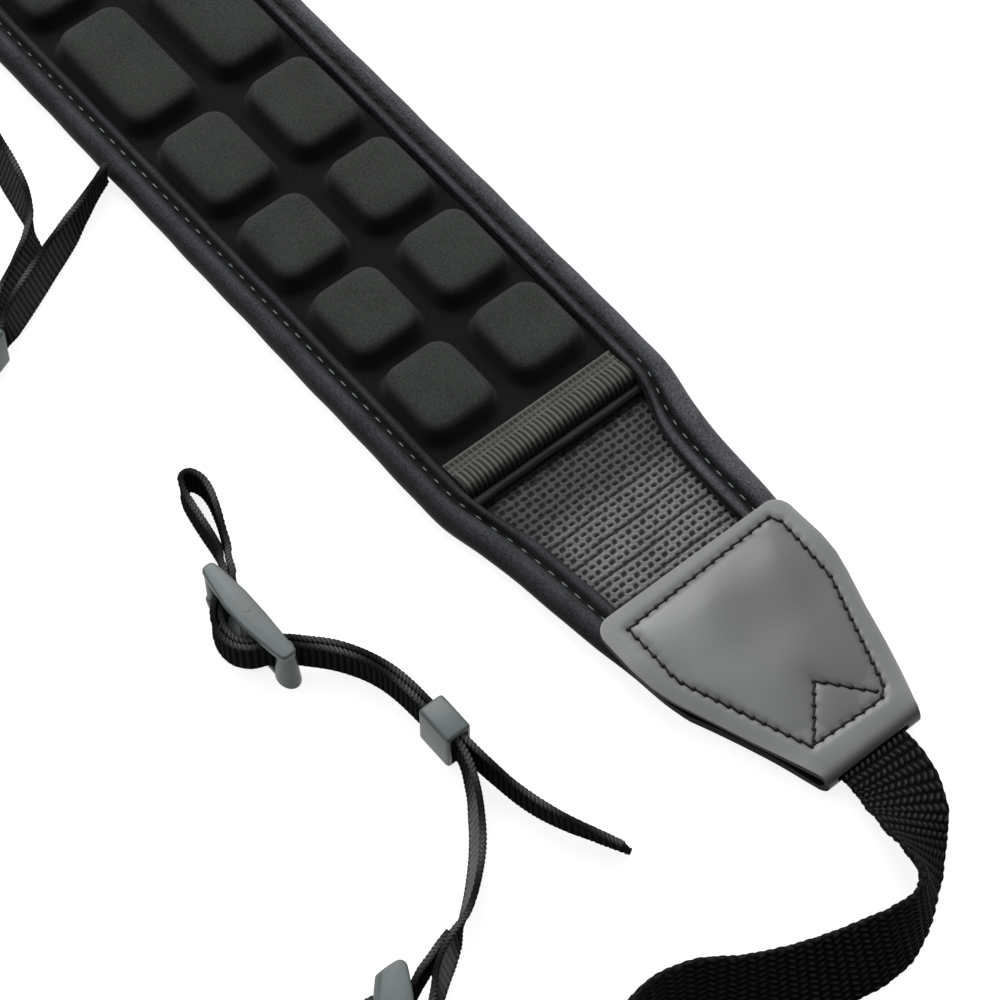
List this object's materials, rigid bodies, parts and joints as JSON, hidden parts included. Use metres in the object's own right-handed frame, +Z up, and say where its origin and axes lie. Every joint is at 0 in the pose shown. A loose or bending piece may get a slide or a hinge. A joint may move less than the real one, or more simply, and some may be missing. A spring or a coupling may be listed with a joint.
{
  "type": "binocular strap",
  "caption": "Padded neck strap with a cushion of raised cells, rolled edges, leather end tabs, webbing and narrow straps on slides, lying on a flat surface.",
  "frame": {"origin": "middle of the pad's underside, on the surface that the strap lies on", "axes": "+X along the pad towards the near leather tab, +Y across the pad, away from the straps, +Z up, the side with the cells"},
  "size_m": [0.4928, 0.1984, 0.0205],
  "materials": {
    "foam": "matt moulded foam faced with a fine napped fabric",
    "weave": "coarse basket-weave webbing",
    "binding": "rolled knit binding with a stitch line",
    "tape": "ribbed woven tape",
    "lip": "thin dark edge strip",
    "leather": "smooth semi-gloss leather",
    "webbing": "black woven webbing",
    "plastic": "softly moulded grey plastic"
  },
  "bodies": {
    "root": {"cushion": "foam", "carrier_webbing": "weave", "binding_right": "binding", "binding_left": "binding", "end_tape_near": "tape", "end_lip_near": "lip", "leather_tab_near": "leather", "wide_webbing_near": "webbing", "connector_near": "plastic", "narrow_strap_near": "webbing", "keeper_near": "plastic", "tri_glide_near": "plastic", "end_tape_far": "tape", "end_lip_far": "lip", "leather_tab_far": "leather", "wide_webbing_far": "webbing", "connector_far": "plastic", "narrow_strap_far": "webbing", "keeper_far": "plastic", "tri_glide_far": "plastic"}
  },
  "joints": []
}
